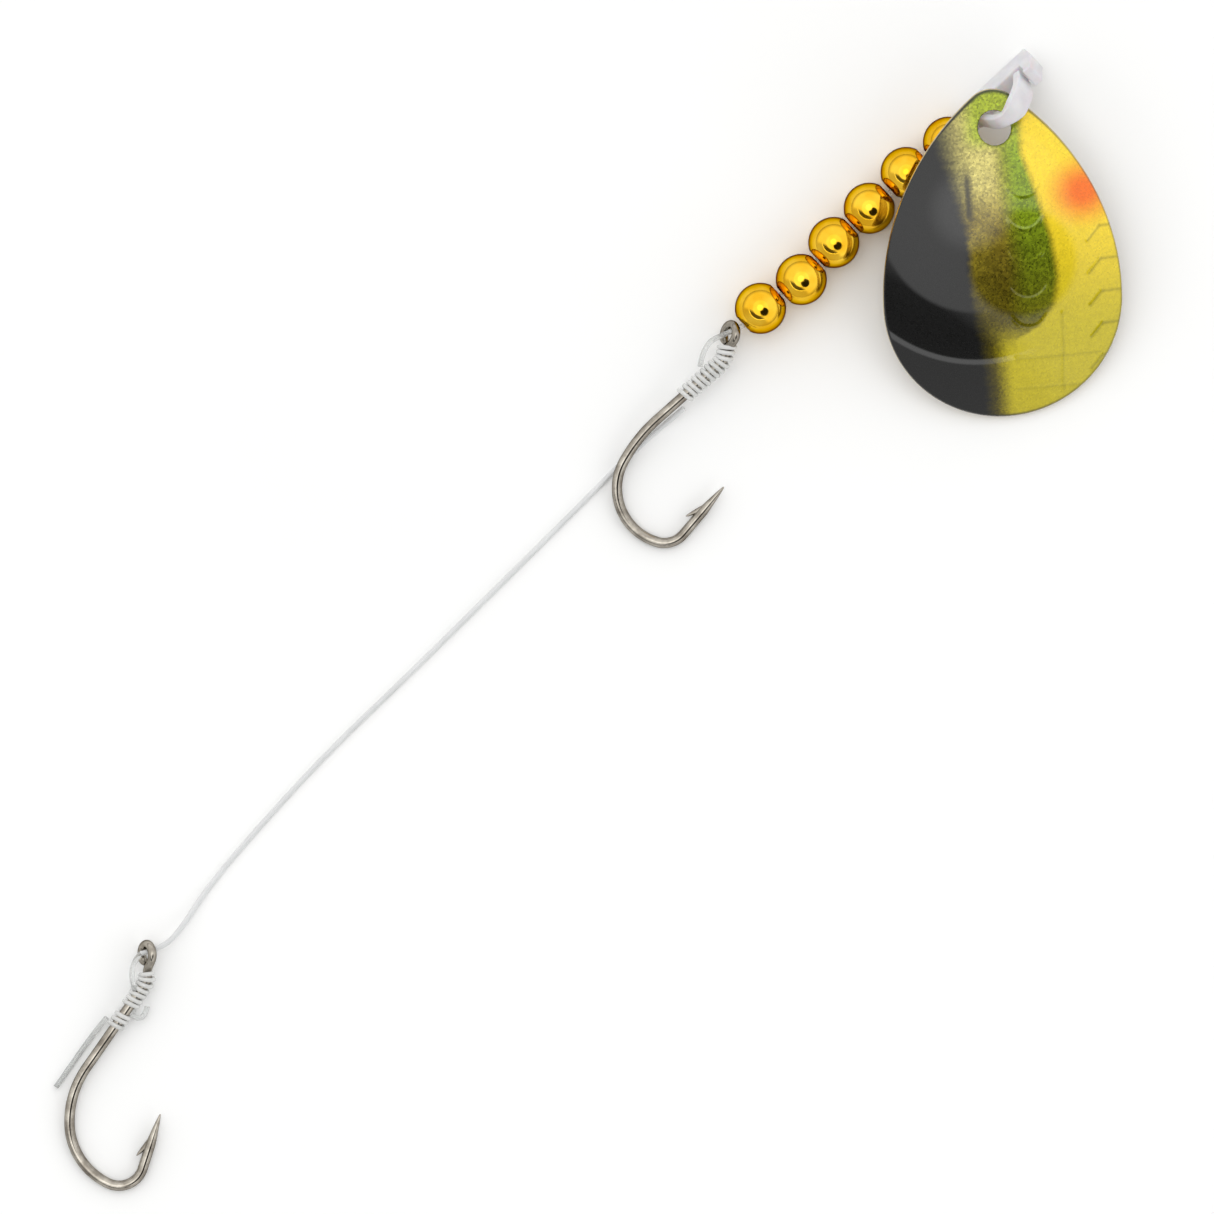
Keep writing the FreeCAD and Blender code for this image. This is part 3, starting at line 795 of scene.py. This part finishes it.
def hook_wire(form):
    """The wire's path from the end of the eye to the point, how many points of it are the eye, and where the
    spear ends and heads."""
    shank_length, bends, spear = form
    twist = math.radians(EYE_TWIST)
    lift = Vector((0, 0, math.cos(twist))) - heading(EYE_TURN + 90) * math.sin(twist)
    ring = []
    for turn in range(350, 46, -8):
        angle = math.radians(turn)
        ring.append((lift * math.sin(angle) - eye_way * math.cos(angle)) * EYE_RADIUS)
    start = ring[-1]
    way = (ring[-1] - ring[-2]).normalized()
    root = eye_way * -(EYE_RADIUS + BRIDGE)
    near = start + way * 0.5
    far = root + eye_way * 0.5
    bridge = [(1 - t) ** 3 * start + 3 * (1 - t) ** 2 * t * near + 3 * (1 - t) * t * t * far + t ** 3 * root
              for t in np.linspace(0, 1, 9)[1:]]
    steps = [(NECK - BRIDGE, 0), neck_steps[1], (shank_length, 0), *bends, (spear, 0)]
    wire, spear_end, bearing = trail(root, 180 + EYE_TURN, steps)
    point = trail(spear_end, bearing, [(POINT, 0)])[0]
    return ring + bridge + wire[1:] + point[1:], len(ring) + len(bridge), spear_end, bearing


def hook_piece(name, place, form, node):
    """Forged octopus hook: ring eye with a tapered end, flattened round bend, point and cut barb."""
    path, eye_count, spear_end, bearing = hook_wire(form)
    total = len(path)
    point_steps = round(POINT / STEP)
    sections = []
    for i in range(total):
        radius = HOOK_WIRE / 2
        if i < eye_count:
            radius = EYE_WIRE / 2 * min(1, 0.5 + i * 0.1)
        left = total - 1 - i
        if left < point_steps:
            radius *= 0.1 + 0.9 * (left / point_steps) ** 0.75
        sections.append(round_section(radius, 22, forging((i - eye_count) / (total - eye_count))))
    rings = sweep(path, sections, eye_way)
    # the barb: a sliver raised from the inner side of the point
    lean = heading(bearing + 180 - BARB_LEAN)
    root = spear_end + heading(bearing) * BARB_AHEAD
    shares = np.linspace(0, 1, 10)
    barb_path = [root + lean * (BARB * t - 0.2) for t in shares]
    barb_sections = [round_section(BARB_ROOT * (1 - t) ** 0.7 + 0.03, 14, 0.8) for t in shares]
    barb_rings = sweep(barb_path, barb_sections, (0, 0, 1))
    points = np.concatenate([rings.reshape(-1, 3), barb_rings.reshape(-1, 3)])
    faces = skin(rings) + skin(barb_rings, first=rings.shape[0] * rings.shape[1])
    piece = mesh_piece(name, placed(place, points), faces)
    wear(piece, nickel, "line_and_hooks", "hook_steel", node)


hook_piece("octopus_hook_front", front_frame, FRONT_FORM, "front_hook")
hook_piece("octopus_hook_rear", rear_frame, REAR_FORM, "rear_hook")

# ---------------------------------------------------------------- snells and ends of line

WRAP_LINE = 0.36  # pulled tight, the line is a little thinner
WRAP_PITCH = 0.47
PER_TURN = 12  # control points in a turn


def wound(place, begin, end, phase=0.0, snug=0.02):
    """Control points of turns of line round a hook's wire, from begin to end along it, a little uneven."""
    path = trail(neck_root, 180 + EYE_TURN, [*neck_steps, (FRONT_FORM[0], 0)])[0]
    path = np.array([tuple(p) for p in path])
    ways = np.gradient(path, axis=0)
    ways /= np.linalg.norm(ways, axis=1)[:, None]
    lengths = np.r_[0, np.cumsum(np.linalg.norm(np.diff(path, axis=0), axis=1))]
    count = round((end - begin) / WRAP_PITCH * PER_TURN)
    points = []
    for i in range(count + 1):
        turn = i / PER_TURN
        along = begin + (end - begin) * i / count + 0.03 * math.sin(2.9 * turn + phase)
        centre = Vector([np.interp(along, lengths, path[:, k]) for k in range(3)])
        way = Vector([np.interp(along, lengths, ways[:, k]) for k in range(3)]).normalized()
        side = Vector((-way.y, way.x, 0))
        angle = 2 * math.pi * (turn + phase)
        radius = (HOOK_WIRE + WRAP_LINE) / 2 + snug * (2.2 + math.sin(1.7 * turn + 0.4))
        around = side * math.cos(angle) + Vector((0, 0, math.sin(angle)))
        points.append(place @ (centre + around * radius))
    return points


def line_piece(name, points, *nodes, thickness=LINE, nylon=snell_nylon):
    """A stretch of line that stands for CAD nodes."""
    wear(line_curve(name, points, thickness), nylon, "line_and_hooks", "monofilament", *nodes)


LINE_END_GAP = 0.2

front_loop_start = rig(-23.55, 0.72, 2.0)
leader_end = CLEVIS_START + STEM - BORE_LENGTH - LINE_END_GAP
line_piece("leader", [rig(leader_end, 0, LINE_HEIGHT), rig(2, 0, LINE_HEIGHT), rig(-10, 0, LINE_HEIGHT),
                      rig(-19, 0, LINE_HEIGHT), rig(-21.6, 0, LINE_HEIGHT), front_loop_start], "leader_line")
line_piece("front_loop", [front_loop_start, rig(-24.5, 1.1, 2.1), rig(-25.4, 0.95, 2.2),
                          rig(-26.2, 0.55, 2.1), rig(-26.7, 0.15, 1.95)], "front_snell_loop")
line_piece("front_wraps", wound(front_frame, 0.1, 5.6), "front_snell", thickness=WRAP_LINE, nylon=wrap_nylon)

line_piece("rear_loop", [TRACE[-1], rig(-92.2, -3.75, 1.7), rig(-92.9, -4.2, 1.9), rig(-93.5, -4.85, 1.9),
                         rig(-93.8, -5.5, 1.7)], "rear_snell_loop")
line_piece("rear_wraps_upper", wound(rear_frame, 0.7, 3.9, 0.1, 0.0), "rear_snell", thickness=WRAP_LINE,
           nylon=wrap_nylon)
line_piece("rear_wraps_lower", wound(rear_frame, 4.4, 5.8, 0.6, 0.0), thickness=WRAP_LINE, nylon=wrap_nylon)
line_piece("rear_tail_loop", [rig(-95.4, -6.7, 0.9), rig(-95.3, -7.3, 0.85), rig(-94.6, -7.55, 0.85),
                              rig(-94.0, -7.1, 0.9)], "rear_snell_tail")
line_piece("tag", [rig(-97.0, -5.55, 0.6), rig(-98.9, -5.80, 0.22), rig(-101.2, -6.30, 0.22),
                   rig(-103.8, -6.85, 0.22)], "tag_end")

# ---------------------------------------------------------------- table and studio

TABLE_HALF = 600.0
corners = [(TABLE_HALF * x, TABLE_HALF * y, 0) for x, y in ((-1, -1), (1, -1), (1, 1), (-1, 1))]
table = mesh_piece("table", corners, [(0, 1, 2, 3)])
table.data.materials.append(table_board())

# radiances, and angles in degrees: bearings across the picture, and the rest off the vertical
LAMP = 1.55
LAMP_REACH = 34
WALLS = 1.25
SKIRT = 0.5  # the walls at table height
OPENING = 238  # bearing of the tent's open front
OPENING_LIGHT = 0.75
GAP_LIGHT = 0.12
GAP_FOOT = 52.5
RAIL_LIGHT = 2.4
RAIL_FOOT = 54.5

world = bpy.data.worlds.new("light_tent")
bpy.context.scene.world = world
world.use_nodes = True
tent = world.node_tree
outlook = add(tent, "ShaderNodeTexCoord").outputs["Generated"]
rise = add(tent, "ShaderNodeSeparateXYZ", {"Vector": outlook}).outputs["Z"]


def towards(bearing, off_vertical):
    """Unit vector to a place in the tent: its bearing across the picture and its angle off the vertical."""
    flat = heading(bearing + IMAGE_TURN) * math.sin(math.radians(off_vertical))
    return flat + Vector((0, 0, math.cos(math.radians(off_vertical))))


def patch(way, reach, soft):
    """1 within an angle of a way, falling to 0 over a soft edge, both in degrees."""
    nearness = add(tent, "ShaderNodeVectorMath", {0: outlook, 1: tuple(way)}, operation="DOT_PRODUCT")
    return add(tent, "ShaderNodeMapRange", {
        "Value": nearness.outputs["Value"], "From Min": math.cos(math.radians(reach + soft)),
        "From Max": math.cos(math.radians(reach))}, interpolation_type="SMOOTHSTEP").outputs["Result"]


def level(value):
    """A grey of the tent's cloth."""
    return (value, value, value, 1)


ramp_node = add(tent, "ShaderNodeValToRGB", {"Fac": rise})
ramp = ramp_node.color_ramp
ramp.elements[0].color = level(SKIRT)
ramp.elements[1].color = level(WALLS)
ramp.elements[1].position = 0.3
overhead = towards(0, 0)
light = blended(tent, patch(overhead, LAMP_REACH, 2), ramp_node.outputs["Color"], level(LAMP))
# the open front of the tent: a dark gap under the lamp, then a bright rail, then the room
open_side = add(tent, "ShaderNodeVectorMath", {0: outlook, 1: tuple(heading(OPENING + IMAGE_TURN))},
                operation="DOT_PRODUCT").outputs["Value"]
front = blended(tent, patch(overhead, 80, 14), light, level(OPENING_LIGHT))
front = blended(tent, patch(overhead, RAIL_FOOT, 0.8), front, level(RAIL_LIGHT))
front = blended(tent, patch(overhead, GAP_FOOT, 0.8), front, level(GAP_LIGHT))
front = blended(tent, patch(overhead, LAMP_REACH, 2), front, level(LAMP))
light = blended(tent, spread(tent, open_side, 0, 1, 0.42, 0.58), light, front)
# the camera and its hood, and the small key lamp beside it
light = blended(tent, patch(towards(-45, 24), 17, 4), light, level(0.02))
light = blended(tent, patch(towards(135, 3), 6, 11), light, level(2.5))
tent.links.new(light, tent.nodes["Background"].inputs["Color"])

bpy.context.scene.view_settings.view_transform = "Standard"

bpy.context.view_layer.update()
